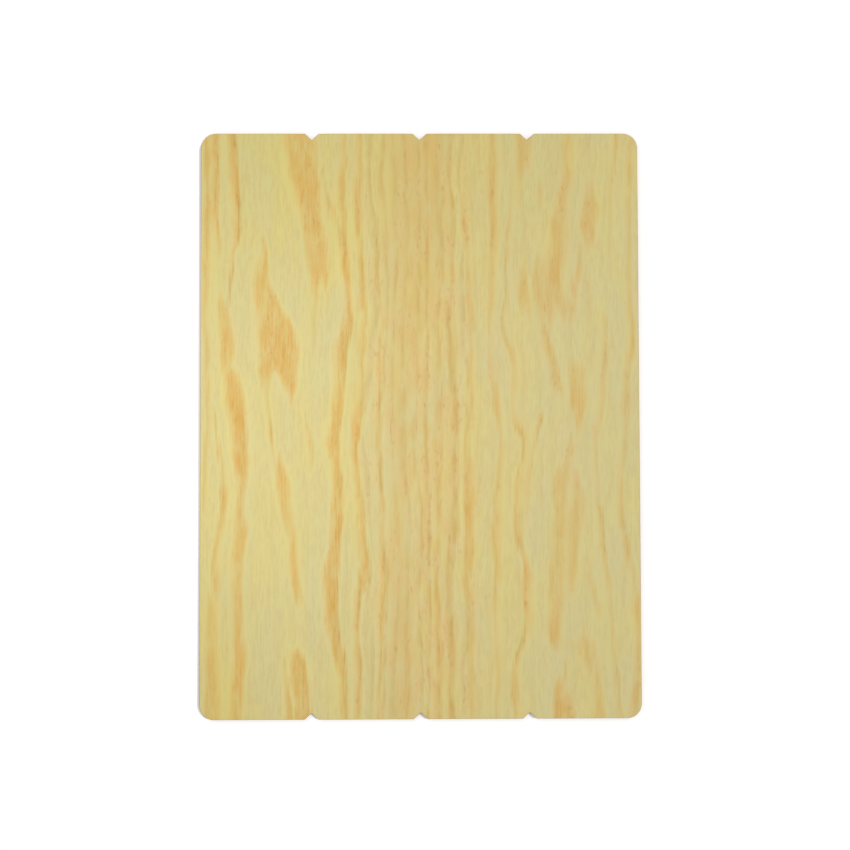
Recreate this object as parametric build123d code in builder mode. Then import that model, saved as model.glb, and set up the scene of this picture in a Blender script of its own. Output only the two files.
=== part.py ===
"""A flat wood-grained board with notched ends, cut from one sheet.

The board lies on its back: +Z points out of the show face, +Y runs along the grain and the long side,
and the origin is in the middle of the underside. All sizes are in millimetres.
"""

import os

from build123d import *

# The board
board_width = 300
board_length = 400
board_thickness = 6
corner_radius = 10
arris_radius = 0.4

# The V notches in both short ends, which mark the board off as if it were planks side by side
notch_count = 3
notch_pitch = 74
notch_width = 9.5
notch_depth = 4.5
notch_root_radius = 0.8
notch_shoulder_radius = 1.5

with BuildPart() as panel:
    with BuildSketch() as outline:
        Rectangle(board_width, board_length)

        # One row of notches along each short end, the second row turned half round to face outwards too
        far_end = Location((0, board_length / 2))
        near_end = Location((0, -board_length / 2), (0, 0, 180))
        with Locations(far_end, near_end):
            with GridLocations(notch_pitch, 0, notch_count, 1):
                Polygon(
                    (-notch_width / 2, 0),
                    (0, -notch_depth),
                    (notch_width / 2, 0),
                    align=None,
                    mode=Mode.SUBTRACT,
                )

        # The cutter leaves a small radius in the root of each notch. With the corners still square, the
        # roots are the next row of points in from each end.
        for roots in (1, -2):
            fillet(outline.vertices().group_by(Axis.Y)[roots], notch_root_radius)

        # The shoulders are sanded off. They are the points on the end lines, less the board's own corners.
        for end_line in (0, -1):
            shoulders = outline.vertices().group_by(Axis.Y)[end_line].sort_by(Axis.X)[1:-1]
            fillet(shoulders, notch_shoulder_radius)

        for side_line in (0, -1):
            fillet(outline.vertices().group_by(Axis.X)[side_line], corner_radius)

    extrude(amount=board_thickness)

    # Both faces are eased all round, through the notches too
    fillet(panel.faces().filter_by(Axis.Z).edges(), arris_radius)

panel.part.label = "panel"

os.makedirs("parts", exist_ok=True)
export_step(panel.part, "parts/panel.step")
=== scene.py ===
# %% [markdown]
# # A wood-grained panel with notched ends
# The object is one flat board: pale pine figure on its face, brown fibreboard on its edges, rounded corners,
# and three small V notches in each short end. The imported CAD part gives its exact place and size, in metres.
# Here the plain solid is dressed: a fine mesh takes its place, and that mesh carries the grain.

# %% Load the frame
from math import radians

import bpy
import numpy as np
from mathutils import Matrix, Vector


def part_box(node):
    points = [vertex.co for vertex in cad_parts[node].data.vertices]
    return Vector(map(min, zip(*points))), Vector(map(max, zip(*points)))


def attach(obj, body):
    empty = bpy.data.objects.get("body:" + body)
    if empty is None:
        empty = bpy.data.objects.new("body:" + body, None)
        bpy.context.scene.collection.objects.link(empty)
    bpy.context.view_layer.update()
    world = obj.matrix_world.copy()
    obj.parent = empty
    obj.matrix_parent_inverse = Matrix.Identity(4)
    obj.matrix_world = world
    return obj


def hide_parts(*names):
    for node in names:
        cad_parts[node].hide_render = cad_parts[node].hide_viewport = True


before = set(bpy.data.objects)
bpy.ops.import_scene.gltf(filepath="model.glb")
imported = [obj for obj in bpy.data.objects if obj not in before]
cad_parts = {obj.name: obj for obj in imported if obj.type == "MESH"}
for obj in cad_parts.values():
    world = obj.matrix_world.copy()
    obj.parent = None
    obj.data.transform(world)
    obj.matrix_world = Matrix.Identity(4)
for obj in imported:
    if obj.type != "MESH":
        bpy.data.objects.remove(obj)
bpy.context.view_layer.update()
MM = 0.001

# %% [markdown]
# ## The outline
# On the real board the outline is sawn and then routed, so it is made of straight lines and small arcs only.
# It could be copied from the CAD mesh, but that mesh is loose triangles with no even rows. Working the end
# line out as a formula gives a point wherever one is wanted, and the same formula serves both ends.

# %% The end line of the board
width, length, thickness = (high - low for low, high in zip(*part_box("panel")))
corner_radius = 10 * MM
arris_radius = 0.4 * MM
notch_centres = np.array([-74, 0, 74]) * MM
notch_half_width = 4.75 * MM
notch_depth = 4.5 * MM
root_radius = 0.8 * MM
shoulder_radius = 1.5 * MM

flank_length = np.hypot(notch_half_width, notch_depth)
root_centre = notch_depth - root_radius * flank_length / notch_half_width
root_end = root_radius * notch_depth / flank_length
shoulder_centre = notch_half_width + shoulder_radius * (flank_length - notch_half_width) / notch_depth
shoulder_start = shoulder_centre - shoulder_radius * notch_depth / flank_length


def notch_profile(aside):
    """Depth of a notch at a distance aside from its middle.

    It is an arc in the root, then the straight flank that joins (half width, 0) to (0, depth), then the arc
    of the sanded shoulder, then nothing. Each arc's centre lies one radius away from the flank.
    """
    root = root_centre + np.sqrt(np.maximum(root_radius**2 - aside**2, 0))
    flank = notch_depth * (1 - aside / notch_half_width)
    shoulder = shoulder_radius - np.sqrt(np.maximum(shoulder_radius**2 - (aside - shoulder_centre) ** 2, 0))
    stretches = [aside < root_end, aside < shoulder_start, aside < shoulder_centre]
    return np.select(stretches, [root, flank, shoulder], 0.0)


def end_line(x):
    """Half the board's length at x: the half length, less the corner's quarter circle, less the notches."""
    into_corner = np.clip(np.abs(x) - (width / 2 - corner_radius), 0, corner_radius)
    corner = corner_radius - np.sqrt(corner_radius**2 - into_corner**2)
    return length / 2 - corner - sum(notch_profile(np.abs(x - c)) for c in notch_centres)


print("half length at a plain spot and at a notch, mm:", end_line(np.array([0.03, 0.0])) / MM)

# %% [markdown]
# ## The grid
# The face is a grid of columns along the grain and rows across it. Pine changes quickly across the grain and
# slowly along it, so the columns stand under a millimetre apart and the rows about four. The columns crowd
# together at the notches and corners, so that the small arcs stay round.

# %% Columns across the board and rows along it
plain_step = 0.84 * MM
notch_step = 0.34 * MM
notch_margin = 0.5 * MM
corner_steps = 10
ruler_marks = 20001

corner_turn = np.linspace(0, np.pi / 2, corner_steps, endpoint=False)
left_corner = -width / 2 + corner_radius * (1 - np.cos(corner_turn))
ruler = np.linspace(-width / 2 + corner_radius, width / 2 - corner_radius, ruler_marks)
near_notch = np.min(np.abs(ruler[:, None] - notch_centres), axis=1) < shoulder_centre + notch_margin
# How many columns stand before each mark.
crowding = np.cumsum(1 / np.where(near_notch, notch_step, plain_step)) * (ruler[1] - ruler[0])
between = np.interp(np.linspace(crowding[0], crowding[-1], int(crowding[-1]) + 1), crowding, ruler)
columns = np.concatenate([left_corner, between, -left_corner[::-1]])

row_count = 92
first_row = 0.012
support = np.array([0.3, 1.0, 2.2]) * MM / length
plain_rows = np.linspace(first_row, 1 - first_row, row_count)
rows = np.concatenate([[0], support, plain_rows, 1 - support[::-1], [1]])
print("columns:", len(columns), " rows:", len(rows))

# %% [markdown]
# ## The rim
# Walking once round the grid's border gives the rim. At each rim point the outward direction is worked out
# from its two neighbours. The rounded arris is then a quarter circle carried round the rim: it starts one
# radius inside the outline, level with the face, and ends on the outline, one radius lower.

# %% The rim and the arris profile
grid_shape = (len(rows), len(columns))
grid_index = np.arange(np.prod(grid_shape)).reshape(grid_shape)
rim = np.concatenate([grid_index[0], grid_index[1:, -1], grid_index[-1, -2::-1], grid_index[-2:0:-1, 0]])

outline_x = np.broadcast_to(columns, grid_shape)
outline_y = (2 * rows[:, None] - 1) * end_line(columns)
outline_rim = np.stack([outline_x.ravel()[rim], outline_y.ravel()[rim]], axis=1)

along_rim = np.roll(outline_rim, -1, axis=0) - np.roll(outline_rim, 1, axis=0)
outward = np.stack([along_rim[:, 1], -along_rim[:, 0]], axis=1)
outward /= np.linalg.norm(outward, axis=1, keepdims=True)

arris_marks, wall_marks = 5, 6
arris_turn = np.linspace(0, np.pi / 2, arris_marks)
arris_inset = arris_radius * (1 - np.sin(arris_turn))
arris_drop = arris_radius * (1 - np.cos(arris_turn))
wall_rows = np.linspace(1, 0, wall_marks)[1:-1] * (thickness - 2 * arris_radius) + arris_radius
ring_inset = np.concatenate([arris_inset, np.zeros(len(wall_rows)), arris_inset[::-1]])
ring_height = np.concatenate([thickness - arris_drop, wall_rows, arris_drop[::-1]])
print("rim points:", len(rim), " rings from face to back:", len(ring_height))

# %% [markdown]
# ## Soft random drift
# Wood is never quite regular. This helper makes a smooth random field, so that lines wander and edges fray.
# A texture node could do it in the shader, but the mesh needs the same values for its relief.


# %% A smooth random field
def smoothstep(t):
    """A rise from 0 to 1 that starts and ends level: three times t squared less twice t cubed."""
    return t * t * (3 - 2 * t)


def drift(x, y, across, along, seed):
    """A smooth field from -1 to 1: random numbers on a lattice of cells, blended by smoothstep in each cell.

    across and along are the size of a cell in x and y, in the same unit as x and y.
    """
    cells = 97
    lattice = np.random.default_rng(seed).uniform(-1, 1, (cells, cells))
    u, v = x / across, y / along
    i, j = np.floor(u).astype(int), np.floor(v).astype(int)
    s, t = smoothstep(u - i), smoothstep(v - j)
    i, next_i, j, next_j = (k % cells for k in (i, i + 1, j, j + 1))
    near = lattice[i, j] * (1 - s) + lattice[next_i, j] * s
    far = lattice[i, next_j] * (1 - s) + lattice[next_i, next_j] * s
    return near * (1 - t) + far * t


print("drift at half-cell steps:", np.round(drift(np.arange(5.0), np.zeros(5), 2, 2, 1), 2))

# %% [markdown]
# ## The figure on the face
# The leaf of pine was peeled from the log, so the knife ran in and out of the growth rings. Where it ran
# along the hard, orange latewood it left long flames and wandering streaks. Each is drawn as a brush stroke:
# stations from the far end to the near end, each with a place across the board, a half width and a strength.
# The first number of a stroke is its lean: above 0 its right edge is the crisp one, below 0 its left edge.

# %% Strokes on the left, as (y, x, half width, strength) stations in mm
strokes = {}
strokes["left rim line"] = 0, [
    (198, -146, 2.4, 0.7), (150, -146, 2.2, 0.7), (110, -147, 1.4, 0.6), (60, -145.5, 1.5, 0.5),
    (20, -145.5, 1.2, 0.5), (-20, -146, 1, 0.4), (-60, -147, 1, 0.35),
]
strokes["left edge, far"] = 0.2, [
    (200, -140, 3, 0.75), (175, -140, 2.8, 0.75), (160, -141, 2.6, 0.7), (145, -140, 2.8, 0.8),
    (135, -139, 2.8, 0.9), (125, -138, 2, 0.65), (116, -138, 0.6, 0.35),
]
strokes["left band"] = 0.6, [
    (200, -129.5, 3, 0.75), (180, -128, 3.5, 0.8), (165, -126, 3, 0.85), (155, -126, 2.5, 0.8),
    (140, -125.5, 2.2, 0.65), (130, -125, 2.5, 0.7), (120, -127, 2, 0.75), (113, -128.5, 1.2, 0.7),
    (102, -130, 1, 0.6), (86, -130.5, 0.7, 0.5),
]
strokes["left patch"] = 0.3, [
    (91, -135, 1, 0.45), (84, -134.5, 3.5, 0.75), (75, -133, 4, 0.8), (62, -131.5, 5, 0.8),
    (50, -131.5, 5, 0.75), (43, -132, 3, 0.55),
]
strokes["left long flame"] = 0.15, [
    (41, -129, 2, 0.6), (36, -128.5, 4.8, 0.85), (20, -126, 6.2, 0.95), (0, -123.5, 6.5, 0.95),
    (-12, -122.3, 6.2, 0.9), (-28, -121, 4.8, 0.9), (-37, -120.5, 3.3, 0.75), (-46, -122.3, 2.5, 0.7),
    (-64, -122.5, 2.5, 0.65), (-75, -121.5, 4, 0.65), (-92, -123.5, 4.3, 0.7), (-110, -124.5, 4, 0.7),
    (-128, -124.5, 3.4, 0.55), (-142, -124, 3.6, 0.65), (-155, -122.8, 4, 0.85), (-170, -123.3, 4, 0.8),
    (-185, -125, 4, 0.7), (-200, -125.5, 4.3, 0.7),
]
strokes["left edge, middle"] = -0.4, [
    (8, -142, 0.6, 0.6), (-4, -140.5, 1.2, 0.9), (-18, -137, 1.3, 0.6), (-32, -134.5, 1.2, 0.7),
    (-42, -133.5, 2.4, 0.8), (-55, -134.5, 3.2, 0.7), (-68, -136.5, 3, 0.7), (-80, -138, 2.2, 0.6),
    (-92, -140, 2.2, 0.6), (-108, -139, 2.4, 0.65), (-118, -137, 1, 0.35),
]
strokes["left edge, near"] = -0.2, [
    (-112, -142, 2, 0.45), (-128, -140.5, 3.8, 0.7), (-142, -141.5, 4, 0.6), (-158, -142, 4, 0.55),
    (-175, -141.5, 4.4, 0.6), (-200, -141, 5.4, 0.6),
]
strokes["leaning flame"] = 0.2, [
    (126, -107, 0.5, 0.4), (119, -106.3, 1.3, 0.65), (110, -106.5, 2.6, 0.7), (100, -107.8, 4.5, 0.65),
    (90, -106.8, 6, 0.7), (80, -104, 8.8, 0.8), (71, -99.5, 12.5, 0.9), (60, -97.7, 13.3, 0.9),
    (46, -97.3, 13.5, 0.9), (39, -94, 10, 0.9), (34, -90.5, 6.5, 0.9), (26, -89, 5, 0.9),
    (20, -88, 3, 0.65), (15, -87.5, 0.5, 0.4),
]
strokes["flame's left prong"] = -0.2, [
    (45, -105, 5, 1), (38, -105, 5.3, 0.9), (31, -105, 4, 0.7), (24, -104.5, 2.4, 0.5),
    (16, -104, 0.6, 0.4),
]
strokes["thread under the flame"] = 0.5, [
    (20, -104, 0.8, 0.4), (4, -103.5, 1.1, 0.65), (-10, -102, 1.3, 0.75), (-22, -100, 1.3, 0.65),
    (-30, -98.5, 1, 0.5),
]
strokes["lozenge"] = -0.3, [
    (-23, -96, 0.8, 0.5), (-31, -96, 3.4, 0.8), (-40, -94, 4.5, 0.75), (-50, -92, 4.2, 0.65),
    (-60, -91.5, 3.4, 0.6), (-72, -90, 3, 0.45), (-82, -87, 2.6, 0.55), (-92, -86, 3, 0.75),
    (-102, -84.8, 3, 0.75), (-110, -83.8, 3.2, 0.85), (-116, -83.5, 1.6, 0.6),
]
strokes["short thread"] = 0.5, [
    (14, -78, 0.5, 0.4), (2, -76.3, 1.2, 0.85), (-9, -74.5, 1.3, 0.7), (-24, -73.5, 0.8, 0.35),
]
strokes["near end drop"] = 0.2, [
    (-154, -83.5, 4.8, 0.75), (-159, -83, 5.5, 0.9), (-170, -82, 5.6, 0.95), (-184, -80.3, 5, 0.95),
    (-200, -80, 6, 0.9),
]
strokes["near end splinter"] = 0.2, [
    (-162, -92, 0.4, 0.4), (-178, -91, 1.2, 0.6), (-188, -89.8, 2, 0.7), (-200, -89, 3, 0.85),
]
strokes["notch flame"] = 0.1, [
    (200, -82.5, 11, 0.65), (180, -80, 10.5, 0.75), (160, -77, 9.3, 0.75), (148, -74.8, 7.8, 0.8),
    (138, -73, 7.5, 0.8), (122, -69.8, 7.6, 0.75), (110, -68.8, 7.2, 0.75), (101, -68, 6, 0.65),
    (95, -69, 4, 0.5), (88, -71, 1.6, 0.35), (58, -73, 0.5, 0.25),
]
strokes["fork line"] = 0.6, [
    (174, -66.5, 0.5, 0.4), (160, -62, 1, 0.55), (145, -59, 1.2, 0.65), (130, -56.5, 1, 0.5),
    (117, -54, 0.7, 0.4),
]
print("strokes on the left:", len(strokes))

# %% [markdown]
# In the middle, streaks wander from end to end beside the close rings, over a faint brown wash.

# %% Strokes in the middle
strokes["first wavy streak"] = 0.4, [
    (200, -51.5, 1.8, 0.6), (185, -51, 1.8, 0.65), (168, -53, 2.5, 0.75), (155, -53.3, 2.5, 0.8),
    (140, -52.5, 2, 0.75), (125, -51.5, 2.5, 0.8), (110, -51.5, 3, 0.95), (95, -50.5, 2.8, 0.9),
    (76, -48.5, 2.6, 0.8), (63, -50, 3, 0.8), (52, -53.5, 4.6, 0.85), (40, -54, 4.5, 0.9),
    (30, -54, 3.5, 0.85), (20, -55.3, 3.4, 0.8), (10, -55.7, 3.8, 0.85), (3, -57.2, 4, 1),
    (-6, -59, 4.6, 0.9), (-15, -59.6, 5, 0.75), (-26, -57.8, 3.4, 0.75), (-38, -57, 3.4, 0.85),
    (-50, -57, 3.8, 0.95), (-62, -56.5, 4.2, 1), (-72, -57.2, 3.6, 0.95), (-84, -58, 3, 0.9),
    (-92, -59, 3.4, 0.85), (-101, -60.5, 4.6, 0.9), (-112, -61, 4.8, 0.9), (-128, -60.7, 4.2, 0.85),
    (-140, -60, 4.4, 0.9), (-147, -58.5, 4.4, 0.9), (-155, -56.5, 4, 0.85), (-164, -53.5, 3.2, 0.8),
    (-176, -52.5, 2.4, 0.75), (-200, -52, 2, 0.65),
]
strokes["second wavy streak"] = 0.35, [
    (200, -41, 1.9, 0.65), (172, -41, 1.9, 0.65), (160, -41.5, 2.5, 0.7), (146, -42.5, 2.9, 0.7),
    (130, -42, 2.8, 0.7), (112, -40, 2, 0.65), (92, -38.8, 1.8, 0.7), (70, -38, 2, 0.7),
    (50, -39, 1.6, 0.6), (35, -40.3, 1.9, 0.6), (18, -41.5, 2.5, 0.6), (9, -41, 3.2, 0.7),
    (3, -41.6, 3.8, 0.9), (-4, -42.8, 3, 0.8), (-12, -44.3, 2, 0.75), (-23, -44.5, 2.4, 0.85),
    (-33, -44, 2, 0.7), (-44, -42.4, 2, 0.7), (-62, -41, 2.6, 0.8), (-78, -39.8, 2.5, 0.8),
    (-92, -38, 2.9, 0.8), (-101, -37.6, 3.5, 0.85), (-107, -38.2, 3.6, 0.8), (-113, -41.2, 2.7, 0.75),
    (-121, -43, 2.4, 0.8), (-136, -43, 1.8, 0.7), (-150, -43, 2.2, 0.75), (-166, -41.5, 2.2, 0.75),
    (-200, -43, 2, 0.6),
]
strokes["third wavy streak"] = 0.3, [
    (128, -29.5, 0.8, 0.5), (112, -29, 1.2, 0.75), (92, -27.5, 1.2, 0.7), (70, -26, 1.1, 0.65),
    (45, -28, 1, 0.7), (20, -27.5, 0.9, 0.65), (0, -28, 1, 0.65), (-35, -27.5, 1.2, 0.65),
    (-60, -25.5, 1, 0.6), (-85, -27, 1.3, 0.65), (-103, -25.5, 1.2, 0.65), (-118, -26, 1.3, 0.75),
    (-135, -27, 1.1, 0.65), (-165, -27.5, 1.2, 0.7), (-200, -28, 1.1, 0.6),
]
strokes["middle, brown wash"] = 0, [
    (200, -3, 20, 0.2), (140, -3, 20, 0.2), (90, -7, 15, 0.2), (40, -14, 8, 0.2), (-40, -15, 6, 0.2),
    (-100, -14, 7, 0.3), (-150, -14, 8, 0.3), (-200, -14, 7, 0.25),
]
strokes["middle, dark thread"] = 0.2, [
    (158, 20, 0.7, 0.25), (140, 21.7, 1, 0.3), (125, 21, 1, 0.3), (112, 21.5, 1.2, 0.35),
    (100, 23.5, 1.5, 0.4), (88, 23, 1, 0.3), (66, 24.5, 1.2, 0.3), (50, 25.5, 1.5, 0.35),
    (30, 24.7, 1.3, 0.3), (17, 24, 1.4, 0.3), (5, 25, 2.2, 0.4), (-8, 24, 2, 0.4), (-22, 22.3, 1.5, 0.35),
    (-50, 20, 1.6, 0.3), (-65, 19, 1.8, 0.3), (-80, 18, 1.5, 0.3), (-95, 19, 1.3, 0.35),
    (-112, 20, 1.5, 0.35), (-136, 19.5, 1.6, 0.35), (-150, 21, 2.7, 0.45), (-162, 22, 2.1, 0.4),
    (-180, 20.5, 1.6, 0.35), (-200, 20, 1.6, 0.35),
]
strokes["middle, left thread"] = 0.3, [
    (-4, 15.5, 0.6, 0.3), (-18, 14.5, 1.3, 0.45), (-32, 13.3, 1.4, 0.45), (-46, 12, 1.1, 0.3),
    (-90, 10.5, 1.1, 0.5), (-110, 10, 1.4, 0.6), (-130, 11.5, 1.3, 0.5), (-150, 12.5, 1.8, 0.6),
    (-175, 12, 1.5, 0.5), (-200, 11.5, 1.5, 0.5),
]
strokes["middle, reddish patch"] = 0, [
    (152, 30, 0.8, 0.3), (144, 30.3, 2, 0.6), (134, 30.7, 2.2, 0.65), (126, 32, 1.3, 0.5),
    (112, 33.5, 1.3, 0.55), (92, 33.8, 1.8, 0.55), (66, 34.5, 1.5, 0.6), (45, 34, 1.5, 0.6),
    (25, 34.6, 1.6, 0.55), (10, 36, 2, 0.55), (0, 34.8, 2, 0.55), (-10, 32.2, 1.9, 0.6),
    (-20, 31.5, 2, 0.6), (-30, 32.5, 3, 0.6), (-42, 33.5, 3.6, 0.65), (-56, 32.2, 3.9, 0.8),
    (-66, 33, 3.4, 0.75), (-80, 33, 3.6, 0.7), (-90, 34, 3.4, 0.7), (-101, 31.7, 2.2, 0.6),
    (-113, 31.5, 1.8, 0.55), (-126, 34, 2.4, 0.5), (-146, 34.5, 2, 0.65), (-156, 33, 1.8, 0.65),
    (-172, 34, 1.9, 0.45), (-200, 34, 1.9, 0.4),
]
print("strokes so far:", len(strokes))

# %% [markdown]
# On the right the flames are paler and broken up, so most of the strengths there are lower.

# %% Strokes on the right
strokes["right long streak"] = -0.3, [
    (200, 51, 2.4, 0.55), (176, 50.5, 2.4, 0.6), (156, 50, 2.4, 0.7), (140, 51, 2.8, 0.6),
    (130, 51.5, 2.3, 0.55), (112, 49.5, 1.5, 0.45), (90, 48, 1.5, 0.45), (64, 47.3, 1.6, 0.45),
    (42, 47, 1.5, 0.4), (28, 49, 1.8, 0.5), (18, 51.8, 2.4, 0.65), (8, 53.5, 2.5, 0.6), (0, 55.5, 2.3, 0.6),
    (-10, 55.5, 2, 0.55), (-22, 55, 1.6, 0.5), (-36, 54, 1.5, 0.55), (-50, 52.6, 2, 0.65),
    (-80, 52, 2.2, 0.7), (-96, 52, 1.8, 0.55), (-116, 52, 2.2, 0.6), (-136, 52, 1.5, 0.45),
    (-160, 53, 1.5, 0.4), (-200, 52.5, 1.8, 0.45),
]
strokes["right wandering streak"] = -0.5, [
    (174, 62, 0.6, 0.35), (150, 62.5, 1, 0.4), (138, 61.3, 1.3, 0.55), (122, 60.4, 1, 0.5),
    (104, 59.5, 1.2, 0.5), (88, 59.5, 1, 0.55), (78, 57.5, 1, 0.55), (69, 56.5, 1.2, 0.6),
    (60, 58, 1.3, 0.6), (54, 60, 1.5, 0.6), (47, 63.3, 2.5, 0.7), (40, 65.3, 2.2, 0.6),
    (31, 64.5, 1.6, 0.55), (18, 64, 1.2, 0.5), (9, 65, 1.2, 0.55), (2, 67, 2, 0.7), (-3, 69, 1.8, 0.65),
    (-10, 71.3, 1.2, 0.55), (-19, 71.5, 1.3, 0.6), (-27, 69, 1.6, 0.6), (-32, 66.3, 2.4, 0.75),
    (-41, 66.6, 1.9, 0.55), (-52, 66, 2.6, 0.65), (-62, 66, 3, 0.7), (-72, 65.5, 2, 0.55),
    (-81, 67, 1.5, 0.55), (-91, 70, 2.8, 0.7), (-99, 73.3, 3, 0.8), (-110, 72.3, 2.5, 0.6),
    (-122, 73, 3, 0.8), (-130, 73, 1.5, 0.5), (-139, 73, 2.4, 0.5), (-148, 71, 2.1, 0.55),
    (-155, 66.5, 1.6, 0.6), (-165, 64, 1.8, 0.7), (-181, 64, 2, 0.75), (-192, 64.5, 1.8, 0.6),
    (-200, 64.5, 1.6, 0.5),
]
strokes["right branch"] = 0.4, [
    (6, 84, 0.6, 0.4), (1, 83, 1.8, 0.6), (-7, 81, 1.5, 0.55), (-15, 78, 1.2, 0.45), (-26, 76, 1.2, 0.4),
    (-40, 74, 1.2, 0.4), (-62, 72, 1, 0.3),
]
strokes["third notch patch"] = 0, [
    (200, 71, 6, 0.5), (190, 71.5, 6, 0.55), (180, 71.5, 5.5, 0.6), (172, 71, 3.6, 0.45),
    (165, 71, 0.8, 0.25),
]
strokes["right fleck"] = 0, [
    (161, 82, 0.6, 0.25), (155, 82.5, 3, 0.4), (150, 82, 2, 0.35), (144, 81.5, 0.5, 0.2),
]
strokes["right flame"] = -0.1, [
    (200, 101, 3.2, 0.5), (184, 101.5, 3.2, 0.5), (172, 100.5, 3.6, 0.5), (160, 98.5, 4.4, 0.6),
    (148, 96.7, 4.8, 0.6), (138, 95.5, 5.4, 0.6), (126, 94.8, 6, 0.65), (112, 92.8, 6.4, 0.65),
    (100, 92.3, 6.2, 0.65), (91, 94, 7, 0.65), (86, 97, 7.4, 0.65), (80, 98, 4, 0.5), (75, 98, 0.8, 0.3),
]
strokes["right flame's skirt"] = 0, [
    (112, 83, 0.8, 0.3), (104, 83, 4, 0.45), (95, 84, 6, 0.5), (87, 85.5, 7, 0.55), (80, 87.5, 6.4, 0.55),
    (74, 88.5, 4.4, 0.45), (68, 90, 0.8, 0.3),
]
strokes["right flame's foot"] = 0, [
    (91, 101, 1, 0.35), (86, 103.5, 4, 0.45), (81, 104, 2.5, 0.4), (75, 103, 0.6, 0.25),
]
strokes["right spindle"] = 0.2, [
    (167, 117, 0.8, 0.25), (160, 117.3, 4, 0.45), (150, 116.5, 5.4, 0.6), (139, 116, 5.8, 0.7),
    (131, 115.5, 5, 0.7), (125, 116, 3.2, 0.55), (119, 116, 0.8, 0.3),
]
strokes["right spindle's tail"] = 0.2, [
    (124, 110, 0.6, 0.3), (112, 108.5, 1.8, 0.5), (103, 107, 2.4, 0.6), (96, 105.5, 2.2, 0.55),
    (89, 105, 1.4, 0.4), (82, 105, 0.5, 0.25),
]
strokes["oval, far lip"] = 0, [
    (108, 70, 0.8, 0.3), (99, 71, 4, 0.5), (88, 71.5, 5.4, 0.55), (80, 72, 4.8, 0.5), (74, 74, 1.8, 0.3),
]
strokes["oval, right lip"] = 0.6, [
    (106, 80, 0.6, 0.3), (95, 78, 1.2, 0.4), (85, 79, 1.2, 0.4), (76, 81, 1.3, 0.4), (67, 83.2, 2, 0.4),
    (59, 85.8, 2.8, 0.5), (51, 88.7, 2.9, 0.6), (44, 91, 2.4, 0.6), (37, 91.5, 2.2, 0.5), (28, 88, 1, 0.35),
]
strokes["right blotch"] = -0.2, [
    (49, 104, 1.5, 0.35), (41, 107, 6.4, 0.5), (33, 108, 6.6, 0.55), (26, 108, 6, 0.6),
    (18, 108.5, 5.6, 0.65), (11, 107.5, 4.6, 0.65), (6, 106, 3.2, 0.5), (0, 106, 0.6, 0.25),
]
strokes["right blotch, left part"] = 0, [
    (36, 92, 1.5, 0.35), (28, 94.5, 5, 0.55), (23, 95.3, 5.2, 0.55), (18, 95, 1.5, 0.3),
]
strokes["right near chain"] = -0.2, [
    (-13, 103.5, 0.8, 0.35), (-21, 103.5, 2.2, 0.7), (-28, 101, 3.4, 0.45), (-36, 97, 5.6, 0.45),
    (-46, 95.5, 5.6, 0.5), (-56, 96, 5.8, 0.5), (-68, 96, 5, 0.5), (-84, 95.5, 4.4, 0.45),
    (-98, 94, 4.8, 0.45), (-108, 92.5, 5.6, 0.55), (-120, 92.5, 5, 0.5), (-132, 92, 5, 0.5),
    (-140, 90.7, 5.8, 0.65), (-148, 92, 4.8, 0.6), (-155, 93, 1.5, 0.35),
]
strokes["right near companion"] = 0.2, [
    (-28, 107.5, 1, 0.35), (-42, 108.5, 3.2, 0.5), (-52, 107, 4.8, 0.45), (-62, 105.5, 4.8, 0.45),
    (-76, 104, 4, 0.4), (-90, 103, 3.4, 0.4), (-103, 103, 2.8, 0.4), (-113, 102, 1, 0.3),
]
strokes["right near tick"] = 0, [
    (-103, 115, 0.6, 0.25), (-112, 117, 2.2, 0.4), (-120, 119.5, 2.2, 0.4), (-129, 121, 0.6, 0.25),
]
strokes["right arch"] = 0, [
    (-142, 110, 0.8, 0.25), (-148, 110, 7, 0.5), (-154, 111, 9, 0.45), (-159, 116.5, 4, 0.4),
    (-166, 119.5, 2, 0.35), (-180, 120, 3, 0.5), (-200, 121, 4.3, 0.5),
]
strokes["near right splinters"] = -0.2, [
    (-163, 99.5, 0.6, 0.4), (-172, 98.3, 1.6, 0.55), (-180, 95, 3.6, 0.65), (-188, 96, 6, 0.75),
    (-200, 97, 8, 0.8),
]
strokes["right outer streak"] = 0.4, [
    (66, 127, 2, 0.4), (50, 125.7, 2.5, 0.5), (36, 125, 2.2, 0.5), (22, 124.4, 1.6, 0.45),
    (10, 123.5, 1.5, 0.45), (0, 121, 1.2, 0.4), (-12, 118.5, 1, 0.4), (-24, 119.5, 1.2, 0.45),
    (-50, 120, 1.2, 0.4), (-70, 123, 2, 0.45), (-82, 124.5, 2.9, 0.55), (-92, 126, 2.1, 0.5),
    (-105, 128.5, 1.2, 0.4), (-160, 131, 1, 0.4), (-184, 134, 1.4, 0.6), (-200, 136, 1.4, 0.6),
]
strokes["far right corner"] = 0, [
    (200, 136, 2, 0.6), (190, 135.5, 2, 0.6), (182, 134, 1.4, 0.4), (168, 132.5, 1, 0.35),
    (120, 130.5, 0.9, 0.25), (96, 131, 0.5, 0.2),
]
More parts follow.
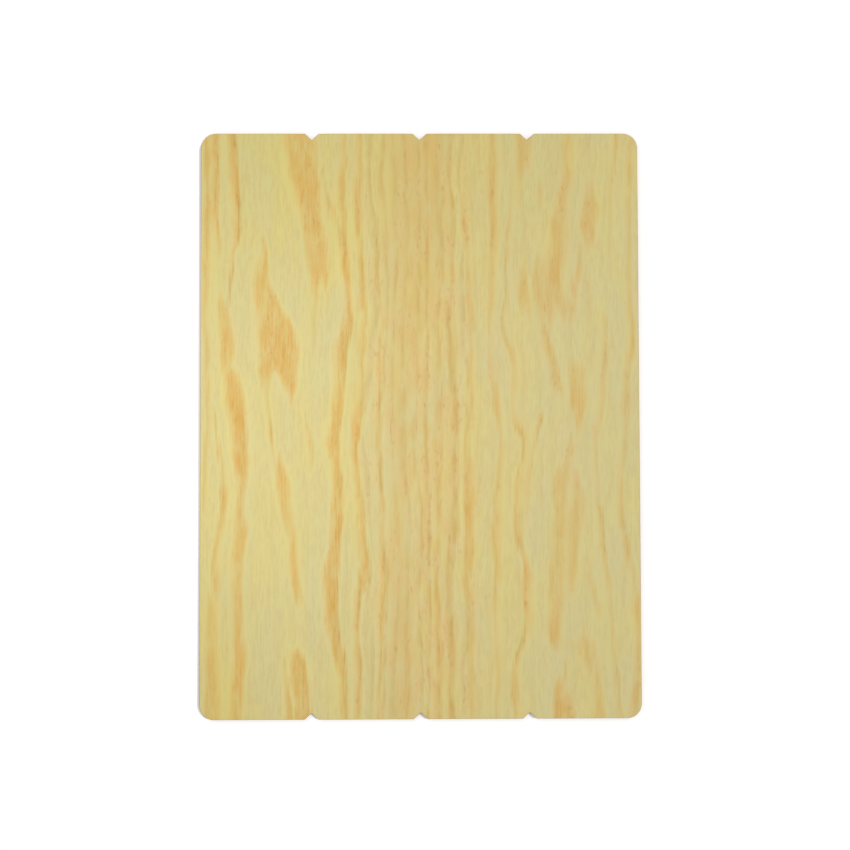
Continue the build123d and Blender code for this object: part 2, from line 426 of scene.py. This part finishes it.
strokes["right edge"] = 0.3, [
    (198, 146, 1.5, 0.5), (180, 146, 1.8, 0.6), (160, 145, 1.5, 0.55), (140, 144, 1.5, 0.55),
    (118, 143.5, 1.2, 0.5), (90, 144, 1, 0.4), (68, 145.3, 2, 0.55), (50, 144, 2, 0.6), (35, 143, 2, 0.55),
    (20, 141, 2, 0.5), (5, 139, 1.6, 0.45), (-15, 139.5, 1.4, 0.5), (-35, 137, 1.6, 0.45),
    (-52, 135.2, 2, 0.45), (-70, 137, 2, 0.5), (-85, 140.5, 2, 0.55), (-98, 143.5, 1.4, 0.5),
    (-112, 146, 1.2, 0.35), (-126, 145.7, 3.2, 0.65), (-137, 147.3, 1.8, 0.55), (-152, 148, 1.2, 0.4),
    (-168, 146.5, 2.6, 0.5), (-184, 145.7, 3, 0.55), (-200, 144, 3, 0.5),
]
print("strokes drawn:", len(strokes))

# %% [markdown]
# A stroke's line and width run smoothly from station to station. What is kept for each point is how deep it
# lies inside the nearest stroke: 0 on the edge, positive inside, negative outside. A depth can be frayed and
# shaded later, at any sharpness, which a painted colour could not. A growth ring ends abruptly but starts
# gradually, so most strokes have one crisp edge and one soft edge. Before all that, the point is shifted a
# little: sideways, so that the edges wander, and along the grain by bundles of fibres, so that ends splinter.

# %% Depth inside the strokes
# Lengths are in mm, as in the stations.
board_end = 200
station_blur = 5.0
end_fade = 6.0
edge_bleed = 0.4
depth_limit = 0.85
ring_end_inset, ring_end_width = 1.1, 1.2
weight_of_depth = 9


def soft_line(y, stations, item):
    """The stations' x, half width or strength at y: straight from one to the next, then smoothed a little."""
    near_first = sorted(stations)
    places = [station[0] for station in near_first]
    values = [station[item] for station in near_first]
    shifts = station_blur * np.linspace(-1, 1, 9)
    return np.mean([np.interp(y + shift, places, values) for shift in shifts], axis=0)


def edge_softness(half_width, lean):
    """Distance over which the left edge fades, in mm: longer the wider the stroke and the more it leans.

    A lean above 0 lengthens it by that share, and one below 0 shortens it by half of that share.
    """
    return (2.0 + 0.22 * half_width) * (1 + np.where(lean > 0, 1.0, 0.5) * lean)


def stroke_fields(x, y):
    """Depth of the points inside the nearest stroke, from -1 to 1, its strength, and ring ends (x, y in mm).

    A stroke lies between two edge lines, its middle line less and plus its half width. From each edge the
    depth grows inwards at that edge's own rate, and the lesser of the two counts. Beyond the end stations it
    falls off. The strength is a mean over all strokes, in which the deepest has by far the greatest weight.
    A ring end is a narrow hump just inside a crisp edge, where the growth of one year stopped. It is as dark
    as the stroke leans, and a thin stroke is dark throughout.
    """
    x = x + 1.0 * drift(x, y, 9, 24, 11) + 0.8 * drift(x, y, 3.5, 9, 12)
    y = y + 7.0 * drift(x, y, 1.9, 90, 13) + 4.0 * drift(x, y, 4.5, 60, 14)
    deepest, ring_end = np.full_like(x, -1.0), np.zeros_like(x)
    weights, weighted = np.full_like(x, 1e-9), np.zeros_like(x)
    for lean, stations in strokes.values():
        far_y, near_y = stations[0][0], stations[-1][0]
        past_far = np.maximum(y - far_y, 0) * (far_y < board_end)
        past_near = np.maximum(near_y - y, 0) * (near_y > -board_end)
        beyond = past_far + past_near
        middle, half, strength = (soft_line(y, stations, item) for item in (1, 2, 3))
        left_gap, right_gap = x - middle + half + edge_bleed, middle + half + edge_bleed - x
        depth = np.minimum(left_gap / edge_softness(half, lean), right_gap / edge_softness(half, -lean))
        depth = np.clip(np.minimum(depth, depth_limit) - beyond / end_fade, -1, 1)
        crisp_gap = right_gap if lean > 0 else left_gap
        darkness = np.maximum(abs(lean), 0.6 - 0.2 * half) * strength * (beyond < 1)
        dark_end = darkness * np.exp(-(((crisp_gap - ring_end_inset) / ring_end_width) ** 2))
        weight = np.exp(weight_of_depth * depth)
        weights, weighted = weights + weight, weighted + weight * strength
        deepest, ring_end = np.maximum(deepest, depth), np.maximum(ring_end, dark_end)
    return deepest, weighted / weights, ring_end


print("depth, strength and ring end in a flame:", *stroke_fields(np.array([-97.5]), np.array([55.0])))

# %% [markdown]
# ## The close rings
# Down the middle of the face the knife cut across the rings, so they stand close together as fine upright
# lines. Here a running count of rings does the work: it grows by one for each ring across the board, fastest
# in the middle. The shader draws a line wherever the count passes a whole number, so the lines stay sharp
# however coarse the mesh is. The back is cut from a calmer leaf, whose count grows round one long arch.


# %% The ring counts of the face and of the back
def face_rings(x, y):
    """Ring count on the face: an even growth across, a steeper one about the middle, and some wandering."""
    sway = 3.0 * drift(x, y, 60, 90, 21) + 1.6 * drift(x, y, 14, 34, 22) + 1.2 * drift(x, y, 5, 14, 24)
    x = x + sway
    return x / 12 + 2.1 * np.tanh((x - 4) / 44) + 0.4 * drift(x, y, 9, 60, 23)


def back_rings(x, y):
    """Ring count on the back: the length of (x, a fraction of y from a far point), a pointed arch."""
    x = x + 3.0 * drift(x, y, 50, 120, 31) + 1.0 * drift(x, y, 15, 50, 32)
    return np.hypot((x - 12) / 9.5, (y + 330) / 62) + 0.15 * drift(x, y, 12, 60, 33)


def close_ring_strength(x):
    """How plainly the close rings show: fully about the middle, faintly on the right, least on the left."""
    beside = np.interp(x, [20, 70], [0.1, 0.24])
    return beside + (1 - beside) * np.exp(-(((x + 1) / 40) ** 4))


print("ring counts at both sides:", face_rings(np.array([-150.0, 150.0]), np.zeros(2)).round(1))

# %% [markdown]
# A leaf of pine also yellows unevenly. On this one the earlywood is yellower towards the far end, least so on
# its right, and a little towards the left. The same tint is painted shade in the near left corner, which it
# darkens as a shadow would. That is a third kind of value for the mesh: plain slopes that cross the board
# slowly, with some drift in them.


# %% The yellowing of the face, with painted shade in its near left corner
def slope(value, start, stop):
    """0 up to start, 1 from stop onwards, and straight in between."""
    return np.clip((value - start) / (stop - start), 0, 1)


def yellowing(x, y):
    """How yellow the earlywood is, 0 to 1 (x, y in mm), with painted shade in the near left corner.

    A smoothstep towards the far end, less on the right, is added to a slope to the left, to one in the near
    left corner, and to drift. The near left slope is painted shade, not yellowing: it darkens that corner.
    """
    far = smoothstep(slope(y, 40, 170))
    right, left = slope(x, 90, 140), slope(x, 30, -70)
    # Painted shade: the near left corner is tinted darker and yellower, as if in shadow.
    near_left_shade = slope(y, -80, -130) * slope(x, -95, -130)
    slopes = 0.8 * far * (1 - 0.8 * right) + 0.2 * left + 0.8 * near_left_shade
    return np.clip(slopes + 0.1 * drift(x, y, 45, 70, 41), 0, 1)


print("yellowing from far to near:", yellowing(np.zeros(3), np.array([190.0, 0.0, -190.0])).round(2))

# %% [markdown]
# ## The board's mesh
# Now the surfaces come together. The face is the grid with its border drawn in to where the arris starts, the
# back is the same grid below, and the rings of the arris and the wall join their borders. Latewood is harder
# than the wood beside it, so sanding leaves it standing a few hundredths of a millimetre proud. That is cut
# into the mesh downwards from the face, so the board never leaves the CAD part's box.


# %% Points of the face, the back and the rim
def inset_grid():
    """x and y of the face's grid: its border is the rim drawn in by the arris, its columns are straight."""
    inset_x, inset_y = outline_x.copy(), outline_y.copy()
    inset_x.ravel()[rim], inset_y.ravel()[rim] = (outline_rim - arris_radius * outward).T
    share = rows[:, None]
    for values in (inset_x, inset_y):
        straight = values[0] * (1 - share) + values[-1] * share
        values[:, 1:-1] = straight[:, 1:-1]
    return inset_x, inset_y


def ring_swell(count):
    """A soft 0 to 1 swell that peaks just before each whole ring."""
    return (0.5 + 0.5 * np.cos(2 * np.pi * (count + 0.12))) ** 2


latewood_relief = 0.025 * MM
grid_x, grid_y = inset_grid()
x_mm, y_mm = grid_x / MM, grid_y / MM
depth_face, strength_face, end_face = stroke_fields(x_mm, y_mm)
count_face, count_back = face_rings(x_mm, y_mm), back_rings(x_mm, y_mm)
closeness = close_ring_strength(x_mm)

proud_face = np.maximum(np.clip(depth_face * 2, 0, 1), closeness * ring_swell(count_face))
face = np.stack([grid_x, grid_y, thickness - latewood_relief * (1 - proud_face)], axis=-1)
back = np.stack([grid_x, grid_y, latewood_relief * (1 - ring_swell(count_back))], axis=-1)

rings_xy = outline_rim[None] - ring_inset[:, None, None] * outward[None]
rings_z = np.broadcast_to(ring_height[:, None, None], rings_xy.shape[:2] + (1,))
wall = np.concatenate([rings_xy, rings_z], axis=-1)[1:-1]
points = np.concatenate([face.reshape(-1, 3), wall.reshape(-1, 3), back.reshape(-1, 3)])
print("points:", len(points), " highest and lowest, mm:", points[:, 2].max() / MM, points[:, 2].min() / MM)


# %% Faces that join them
def quads(index):
    """Four-cornered faces of a grid of point numbers, anticlockwise seen with rows up and columns right."""
    corners = [index[:-1, :-1], index[:-1, 1:], index[1:, 1:], index[1:, :-1]]
    return np.stack(corners, axis=-1).reshape(-1, 4)


wall_first = grid_index.size
back_first = wall_first + wall.shape[0] * wall.shape[1]
wall_index = np.arange(wall_first, back_first).reshape(wall.shape[:2])
ring_index = np.concatenate([rim[None], wall_index, rim[None] + back_first])
ring_index = np.concatenate([ring_index, ring_index[:, :1]], axis=1)

face_quads = quads(grid_index)
back_quads = quads(grid_index + back_first)[:, ::-1]
rim_quads = quads(ring_index)[:, ::-1]
all_quads = np.concatenate([face_quads, rim_quads, back_quads])

FACE, EDGE, BACK = 0, 1, 2
rim_finish = np.full((len(ring_height) - 1, len(rim)), EDGE)
rim_finish[0], rim_finish[-1] = FACE, BACK
finish = np.concatenate([
    np.full(len(face_quads), FACE), rim_finish.ravel(), np.full(len(back_quads), BACK)
])
print("quads:", len(all_quads), " triangles:", 2 * len(all_quads))

# %% [markdown]
# The grain goes onto the mesh as named values, one number of each kind for every point. The strokes and the
# yellowing, with its painted shade in the near left corner, belong to the face alone, while the rings have a
# count of their own on the back.

# %% Put the arrays into a mesh
board_mesh = bpy.data.meshes.new("panel_board")
board_mesh.from_pydata(points.tolist(), [], all_quads.tolist())
board_mesh.polygons.foreach_set("material_index", finish.astype(np.int32))
board_mesh.polygons.foreach_set("use_smooth", np.ones(len(all_quads), dtype=bool))
back_ring_strength = 0.8


def add_object(name, data):
    """A new object that shows this mesh, lamp or camera, put into the scene."""
    made = bpy.data.objects.new(name, data)
    bpy.context.scene.collection.objects.link(made)
    return made


def all_round(on_face, on_back):
    """Values for all points. The wall's upper half is as the face, and its lower half is as the back."""
    on_back = np.broadcast_to(on_back, on_face.shape)
    on_wall = np.broadcast_to(on_face.ravel()[rim], wall.shape[:2]).copy()
    on_wall[wall.shape[0] // 2 :] = on_back.ravel()[rim]
    return np.concatenate([on_face.ravel(), on_wall.ravel(), on_back.ravel()])


grain_values = {
    "latewood_depth": all_round(depth_face, -1.0),
    "latewood_strength": all_round(strength_face, 0.0),
    "ring_end": all_round(end_face, 0.0),
    "ring_count": all_round(count_face, count_back),
    "ring_strength": all_round(closeness, back_ring_strength),
    # The yellowing, with painted shade in the near left corner.
    "yellowing": all_round(yellowing(x_mm, y_mm), 0.0),
}
for name, values in grain_values.items():
    attribute = board_mesh.attributes.new(name, "FLOAT", "POINT")
    attribute.data.foreach_set("value", values.astype(np.float32))
    print(name, "runs from", values.min().round(2), "to", values.max().round(2))
board_mesh.validate()
board = add_object("panel_board", board_mesh)
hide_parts("panel")
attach(board, "root")

# %% [markdown]
# ## Small helpers for shaders
# A material is a graph of nodes. These helpers add one node at a time and fill its inputs, either with a
# plain value or with a link from another node, so the graphs below read in the order in which they work.
# A helper that is given sockets puts its node into their tree, which Blender calls their id_data.


# %% Helpers for single nodes
def empty_tree(owner):
    """The node tree of a material or a world, without the nodes that it starts with."""
    owner.use_nodes = True
    owner.node_tree.nodes.clear()
    return owner.node_tree


def node(tree, kind, inputs=None, **settings):
    """Adds a node of this kind, with its settings, and gives each input a value or a link."""
    made = tree.nodes.new(kind)
    for name, value in settings.items():
        setattr(made, name, value)
    for key, value in (inputs or {}).items():
        if isinstance(value, bpy.types.NodeSocket):
            tree.links.new(value, made.inputs[key])
        else:
            made.inputs[key].default_value = value
    return made


def calc(operation, first, *others):
    """The values put through Math nodes: the first with the second, the result with the third, and so on."""
    for other in others or (0.0,):
        inputs = {0: first, 1: other}
        first = node(first.id_data, "ShaderNodeMath", inputs, operation=operation).outputs[0]
    return first


def times(first, *others):
    """The values multiplied together."""
    return calc("MULTIPLY", first, *others)


def fade(value, start, stop, low=0.0, high=1.0):
    """A smooth step from low to high as value goes from start to stop."""
    inputs = {"Value": value, "From Min": start, "From Max": stop, "To Min": low, "To Max": high}
    made = node(value.id_data, "ShaderNodeMapRange", inputs, interpolation_type="SMOOTHSTEP")
    return made.outputs["Result"]


def blend(share, a, b, mode="MIX"):
    """Colour a turned by a share from 0 to 1 into b or, in the mode MULTIPLY, into a times b.

    A Mix node has sockets for numbers and vectors too. Its colours go in at 6 and 7 and come out at 2.
    """
    tree = next(value.id_data for value in (share, a) if isinstance(value, bpy.types.NodeSocket))
    inputs = {"Factor": share, 6: a, 7: b}
    return node(tree, "ShaderNodeMix", inputs, data_type="RGBA", blend_type=mode).outputs[2]


# %% Helpers that put nodes together
def weighted_sum(*parts):
    """Values added up, each times its own weight. A part is a (value, weight) pair."""
    return calc("ADD", *(times(value, weight) for value, weight in parts))


def hump(value, start, peak, stop):
    """A smooth rise from 0 at start to 1 at the peak, and a smooth fall to 0 at stop."""
    return times(fade(value, start, peak), fade(value, stop, peak))


def stretched_noise(place, size, detail, roughness):
    """Noise whose grains have this size in x, y and z, in metres."""
    tree = place.id_data
    scale = tuple(1 / side for side in size)
    stretched = node(tree, "ShaderNodeMapping", {"Vector": place, "Scale": scale}).outputs["Vector"]
    inputs = {"Vector": stretched, "Scale": 1.0, "Detail": detail, "Roughness": roughness}
    return node(tree, "ShaderNodeTexNoise", inputs).outputs["Fac"]


def show(colour, roughness, height, relief, bump_strength, sheen):
    """Ends a material: a Principled surface, with a height of up to relief, in metres, as its bump."""
    tree = colour.id_data
    bump = node(tree, "ShaderNodeBump", {"Height": height, "Strength": bump_strength, "Distance": relief})
    surface = node(tree, "ShaderNodeBsdfPrincipled", {
        "Base Color": colour, "Roughness": roughness, "Normal": bump.outputs["Normal"],
        "Specular IOR Level": sheen,
    })
    node(tree, "ShaderNodeOutputMaterial", {"Surface": surface.outputs["BSDF"]})


def srgb(red, green, blue):
    """A colour as a picture shows it, 0 to 255, turned into the linear values that shaders use."""
    c = np.array([red, green, blue]) / 255
    return (*np.where(c <= 0.04045, c / 12.92, ((c + 0.055) / 1.055) ** 2.4), 1.0)


# %% [markdown]
# ## Pine grain
# Face and back are both pine, so the grain is one node group that both materials use with their own colours.
# A picture of wood could be laid over the board instead, but it would blur from close by, and its lines would
# not agree with the relief. The group starts from the values stored on the mesh. To them it adds noise in
# several sizes, from single hairs to broad clouds, all of it drawn out along the grain.

# %% The pine grain group
pine = bpy.data.node_groups.new("pine_grain", "ShaderNodeTree")
stored_inputs = {name.replace("_", " ").title(): name for name in grain_values}
pine_sockets = {
    "INPUT": {
        "Place": "Vector",
        **dict.fromkeys(stored_inputs, "Float"),
        **dict.fromkeys(("Earlywood", "Pale Margin", "Latewood"), "Color"),
    },
    "OUTPUT": {"Colour": "Color", "Hardness": "Float", "Height": "Float"},
}
for direction, sockets in pine_sockets.items():
    for name, kind in sockets.items():
        pine.interface.new_socket(name, in_out=direction, socket_type="NodeSocket" + kind)
given = pine.nodes.new("NodeGroupInput").outputs
print("inputs of the grain:", ", ".join(pine_sockets["INPUT"]))


# %% Fibres inside the group
def fibres(across, along, detail=2.0):
    """Noise drawn out along the grain: across and along are the size of one fibre bundle, in metres."""
    return stretched_noise(given["Place"], (across, along, across), detail, 0.55)


hair = fibres(0.3 * MM, 9 * MM)
thread = fibres(0.9 * MM, 22 * MM, 3.0)
mottle = fibres(2.0 * MM, 9 * MM, 3.0)
patch = fibres(6.0 * MM, 22 * MM)
swathe = fibres(5.0 * MM, 60 * MM, 3.0)
cloud = fibres(22 * MM, 70 * MM)
blush = fibres(8 * MM, 26 * MM, 3.0)
drops = fibres(1.6 * MM, 5 * MM, 0.0)
height = weighted_sum((hair, 0.7), (thread, 0.3))
print("nodes so far:", len(pine.nodes))

# %% [markdown]
# The fibres fray the strokes. From the frayed depth come the stroke itself, a paler margin just outside it
# and a darker core deep inside. A ring line is a hump in the fraction of the ring count. Each ring also draws
# a lot by its whole number, so that some lines stand out and others hardly show.

# %% Strokes and ring lines inside the group
fray = fade(thread, 0.2, 0.8, -0.32, 0.32)
fine_fray = fade(hair, 0.2, 0.8, -0.12, 0.12)
blotch = fade(mottle, 0.25, 0.7, -0.3, 0.25)
frayed = calc("ADD", given["Latewood Depth"], fray, calc("ADD", fine_fray, blotch))
stroke = times(
    fade(frayed, -0.75, 1.15), given["Latewood Strength"],
    fade(thread, 0.3, 0.6, 0.86, 1.04), fade(patch, 0.35, 0.6, 0.64, 1.06),
)
margin = times(fade(frayed, -1.3, -0.75), given["Latewood Strength"])
core = times(fade(frayed, 0.6, 1.5), given["Latewood Strength"])


def lot(number):
    """A random number from 0 to 1 that stays the same as long as the given number does."""
    return node(pine, "ShaderNodeTexWhiteNoise", {"W": number}, noise_dimensions="1D").outputs["Value"]


count = weighted_sum((given["Ring Count"], 1.0), (fray, 0.35), (fine_fray, 0.2))
ring_part = calc("FRACT", count)
ring_number = calc("FLOOR", count)
plain = times(
    given["Ring Strength"], fade(lot(ring_number), -0.9, 1.0, 0.0, 0.8),
    fade(swathe, 0.32, 0.55, 0.4, 1.0), fade(patch, 0.35, 0.6, 0.45, 1.1),
    fade(mottle, 0.3, 0.6, 0.62, 1.12),
)
line = times(hump(ring_part, 0.3, 0.75, 1.0), plain)
line_end = times(hump(ring_part, 0.62, 0.8, 0.98), plain, fade(thread, 0.42, 0.62, 0.15, 0.8))
hard = calc("MAXIMUM", stroke, times(line, 0.6))
print("nodes so far:", len(pine.nodes))

# %% [markdown]
# The colour goes on in layers. A real leaf is never one tone, so broad patches of noise make the earlywood
# greyer, straw-coloured or a little flushed, and the stored yellowing comes on top, with painted shade in the
# near left corner. Latewood then covers it, faintly in each close ring, with a lot of its own, and fully in
# the strokes.

# %% Colour of the wood inside the group
grey_patch, straw_patch = srgb(249, 252, 252), srgb(254, 254, 236)
# The aged tint yellows the far end, and in the near left corner it is painted shade.
flush_tint, aged_and_shade_tint = srgb(255, 247, 243), srgb(254, 252, 237)
red_vein, olive_vein = srgb(254, 250, 247), srgb(247, 251, 238)

tint = blend(fade(cloud, 0.35, 0.65), grey_patch, straw_patch)
flushed = times(fade(blush, 0.42, 0.64), fade(given["Ring Strength"], 0.2, 1.0, 0.3, 1.0))
tint = blend(flushed, tint, flush_tint)
# The yellowing tint multiplies in; in the near left corner it is painted shade.
tint = blend(given["Yellowing"], tint, aged_and_shade_tint, "MULTIPLY")
wood = blend(margin, given["Earlywood"], given["Pale Margin"])
wood = blend(1.0, wood, tint, "MULTIPLY")

vein = weighted_sum((swathe, 0.65), (thread, 0.35))
latewood = blend(fade(vein, 0.36, 0.6), red_vein, olive_vein)
latewood = blend(1.0, given["Latewood"], latewood, "MULTIPLY")
ring_tint = lot(calc("ADD", ring_number, 0.5))
close_tint = times(
    given["Ring Strength"], fade(ring_tint, 0.0, 1.0, 0.12, 0.38), fade(patch, 0.34, 0.62, 0.3, 1.0)
)
for share in (close_tint, stroke, times(line, 0.2)):
    wood = blend(share, wood, latewood)
print("nodes so far:", len(pine.nodes))

# %% [markdown]
# Last come five brown stains, each of which multiplies the colour under it: the ring lines, the cores of the
# strokes, the dark ends of rings, a faint streaking by the fibres, and a few soft smudges of resin.

# %% Stains inside the group
dark_end = times(given["Ring End"], fade(swathe, 0.38, 0.58, 0.3, 1.4), fade(thread, 0.35, 0.6))
dark_end = calc("MAXIMUM", dark_end, times(line_end, 0.2))
streak = weighted_sum((mottle, 0.45), (thread, 0.35), (hair, 0.2))
streak = times(fade(streak, 0.58, 0.38), fade(hard, 0.0, 0.7, 0.12, 0.5))
near_rings = calc("MAXIMUM", hard, times(given["Ring Strength"], 0.7))
smudge = times(fade(drops, 0.58, 0.84), fade(near_rings, 0.0, 0.7, 0.08, 0.4), fade(blush, 0.44, 0.62))
for share, stain in (
    (line, srgb(238, 230, 215)), (core, srgb(241, 229, 205)), (dark_end, srgb(221, 209, 188)),
    (streak, srgb(242, 233, 217)), (smudge, srgb(219, 200, 172)),
):
    wood = blend(share, wood, stain, "MULTIPLY")
node(pine, "NodeGroupOutput", {"Colour": wood, "Hardness": hard, "Height": height})
print("nodes in the group:", len(pine.nodes))

# %% [markdown]
# ## The face and the back
# Both are sanded and sealed with a thin satin finish. The hard latewood takes a slightly closer polish than
# the open earlywood, so the roughness follows the grain. The back is a plainer leaf, left a bit rougher.

# %% The two pine materials
fibre_relief = 0.06 * MM
fibre_bump = 0.2
satin_sheen = 0.3


def pine_material(name, earlywood, pale_margin, latewood, roughness, gloss_of_latewood):
    """A satin pine finish: the group's colour, its hardness lowering the roughness, its fibres as bump."""
    material = bpy.data.materials.new(name)
    tree = empty_tree(material)
    inputs = {
        socket: node(tree, "ShaderNodeAttribute", attribute_name=key).outputs["Fac"]
        for socket, key in stored_inputs.items()
    }
    inputs["Place"] = node(tree, "ShaderNodeTexCoord").outputs["Object"]
    inputs |= {"Earlywood": earlywood, "Pale Margin": pale_margin, "Latewood": latewood}
    grain = node(tree, "ShaderNodeGroup", inputs, node_tree=pine).outputs
    polish = fade(grain["Hardness"], 0.0, 1.0, roughness, roughness - gloss_of_latewood)
    show(grain["Colour"], polish, grain["Height"], fibre_relief, fibre_bump, satin_sheen)
    return material


face_pine = pine_material(
    "face_pine", srgb(219, 205, 147), srgb(229, 217, 155), srgb(227, 183, 99),
    roughness=0.56, gloss_of_latewood=0.1,
)
back_pine = pine_material(
    "back_pine", srgb(222, 206, 152), srgb(222, 206, 152), srgb(214, 184, 122),
    roughness=0.66, gloss_of_latewood=0.06,
)
print("materials that share the grain:", pine.users)

# %% [markdown]
# ## The cut edge
# The middle of the sheet is fibreboard: fine brown fibres pressed into thin layers, densest and darkest next
# to the faces. Only the cut edge shows it. Layers and specks are noise squeezed in height, so they lie flat
# on every side of the board, and the height itself darkens the edge towards both faces.

# %% The fibreboard material
felt_relief = 0.12 * MM
felt_bump = 0.5
felt_sheen = 0.25
fibreboard = bpy.data.materials.new("fibreboard_edge")
tree = empty_tree(fibreboard)
place = node(tree, "ShaderNodeTexCoord").outputs["Object"]


def pressed(size, layer, detail):
    """Noise in flat flakes: size is their spread, layer their height, in metres."""
    return stretched_noise(place, (size, size, layer), detail, 0.6)


flakes = pressed(1.6 * MM, 0.22 * MM, 3.0)
specks = pressed(0.35 * MM, 0.25 * MM, 2.0)
layers = pressed(30 * MM, 0.5 * MM, 2.0)
level = node(tree, "ShaderNodeSeparateXYZ", {"Vector": place}).outputs["Z"]
from_middle = calc("ABSOLUTE", calc("SUBTRACT", level, thickness / 2))

thin_layers = fade(layers, 0.45, 0.75, 0.0, 0.5)
dark_specks = fade(specks, 0.64, 0.74, 0.0, 0.6)
pale_specks = fade(specks, 0.34, 0.26, 0.0, 0.5)
dense_skin = fade(from_middle, 0.2 * thickness, 0.47 * thickness, 0.0, 0.45)
brown = blend(fade(flakes, 0.3, 0.7), srgb(172, 138, 94), srgb(196, 163, 116))
for share, shade in (
    (thin_layers, srgb(160, 126, 84)), (dark_specks, srgb(126, 94, 60)),
    (pale_specks, srgb(214, 186, 142)), (dense_skin, srgb(142, 108, 70)),
):
    brown = blend(share, brown, shade)
dullness = fade(flakes, 0.2, 0.8, 0.78, 0.92)
felt = weighted_sum((flakes, 0.6), (specks, 0.4))
show(brown, dullness, felt, felt_relief, felt_bump, felt_sheen)

for material in (face_pine, fibreboard, back_pine):
    board_mesh.materials.append(material)
print("finishes on the board:", [m.name for m in board_mesh.materials])

# %% [markdown]
# ## The floor
# The board lies on a plain white floor. The floor is a diffuse sheet, so it keeps the board's thin shadow.
# A little light of its own, seen by the camera and in reflections only, lifts the lit part to white. That
# light is held back by ambient occlusion in the nook next to the board, which paints a contact shade there,
# or it would wash the shadow out.

# %% Floor and world
floor_size = 12.0
floor_level = -0.1 * MM
floor_white = (0.93, 0.93, 0.93, 1)
floor_lift = 0.3
contact_reach = 4 * MM
sky_strength = 0.4


def seen_directly(tree):
    """1 for rays from the camera, and for those that reach it by a mirror or through glass, else 0."""
    path = node(tree, "ShaderNodeLightPath").outputs
    mirrored = calc("MAXIMUM", path["Is Glossy Ray"], path["Is Transmission Ray"])
    return calc("MAXIMUM", path["Is Camera Ray"], mirrored)


floor_mesh = bpy.data.meshes.new("floor")
corner_signs = ((-1, -1), (1, -1), (1, 1), (-1, 1))
floor_corners = [(i * floor_size / 2, j * floor_size / 2, floor_level) for i, j in corner_signs]
floor_mesh.from_pydata(floor_corners, [], [(0, 1, 2, 3)])
floor = add_object("floor", floor_mesh)
floor_paint = bpy.data.materials.new("floor_white")
tree = empty_tree(floor_paint)
# Ambient occlusion cuts the glow next to the board: painted contact shade on the floor.
contact_shade = node(tree, "ShaderNodeAmbientOcclusion", {"Distance": contact_reach}, samples=8).outputs["AO"]
lift = times(seen_directly(tree), floor_lift, contact_shade)
matte = node(tree, "ShaderNodeBsdfDiffuse", {"Color": floor_white}).outputs["BSDF"]
glow = node(tree, "ShaderNodeEmission", {"Strength": lift}).outputs["Emission"]
both = node(tree, "ShaderNodeAddShader", {0: matte, 1: glow}).outputs["Shader"]
node(tree, "ShaderNodeOutputMaterial", {"Surface": both})
floor_mesh.materials.append(floor_paint)

world = bpy.data.worlds.new("studio")
bpy.context.scene.world = world
tree = empty_tree(world)
strength = fade(seen_directly(tree), 0.0, 1.0, sky_strength, 1.0)
backdrop = node(tree, "ShaderNodeBackground", {"Color": (1, 1, 1, 1), "Strength": strength})
node(tree, "ShaderNodeOutputWorld", {"Surface": backdrop.outputs["Background"]})
print("floor:", floor_size, "m square, sky:", sky_strength, "of white")

# %% [markdown]
# ## The lamps
# A soft box hangs above the board, a little left of its middle, and gives the face its gentle fall-off. A
# second, smaller light comes from the right and draws the thin shadow along the left edge and in the notches.
# The strengths are set so that, with the world, a white sheet on the floor would come out just white.


# %% Soft box and side light
def hang(lamp, place, aim):
    """Hangs a lamp at a place and turns it so that its beam, which leaves along its own -Z, meets the aim."""
    hung = add_object(lamp.name, lamp)
    hung.location = place
    hung.rotation_mode = "QUATERNION"
    hung.rotation_quaternion = (place - aim).to_track_quat("Z", "Y")
    hung.visible_camera = False
    print(lamp.name, "hangs", round((place - aim).length, 2), "m from where it points")


box_lamp = bpy.data.lights.new("soft_box", "AREA")
box_lamp.shape = "SQUARE"
box_lamp.size = 0.28
box_lamp.energy = 0.18
hang(box_lamp, Vector((-0.11, 0.012, 0.22)), Vector((0.06, 0.03, 0.0)))

side_lamp = bpy.data.lights.new("side_light", "SUN")
side_lamp.energy = 1.31
side_lamp.angle = radians(5)
hang(side_lamp, Vector((0.42, 0.15, 1.0)), Vector((0.0, 0.0, 0.0)))

# %% [markdown]
# ## The camera
# The photograph looks straight down on the face, or nearly: the near end comes out about two per cent wider
# than the far end, so the camera stands a little towards the near end and tips forward by some two degrees.

# %% Camera
camera_place = Vector((-4.4, -26.6, 811.5)) * MM
camera_aim = Vector((3.3, -0.6, 5.8)) * MM
camera_roll = radians(-0.16)
camera_data = bpy.data.cameras.new("camera")
camera_data.lens = 50
camera_data.sensor_width = 36
camera = add_object("camera", camera_data)
back_axis = (camera_place - camera_aim).normalized()
right_axis = Vector((0, 1, 0)).cross(back_axis).normalized()
up_axis = back_axis.cross(right_axis)
turn = Matrix((right_axis, up_axis, back_axis)).transposed() @ Matrix.Rotation(camera_roll, 3, "Z")
camera.matrix_world = Matrix.Translation(camera_place) @ turn.to_4x4()
bpy.context.scene.camera = camera
bpy.context.scene.view_settings.view_transform = "Standard"
print("camera stands", round((camera_place - camera_aim).length, 3), "m from the face")
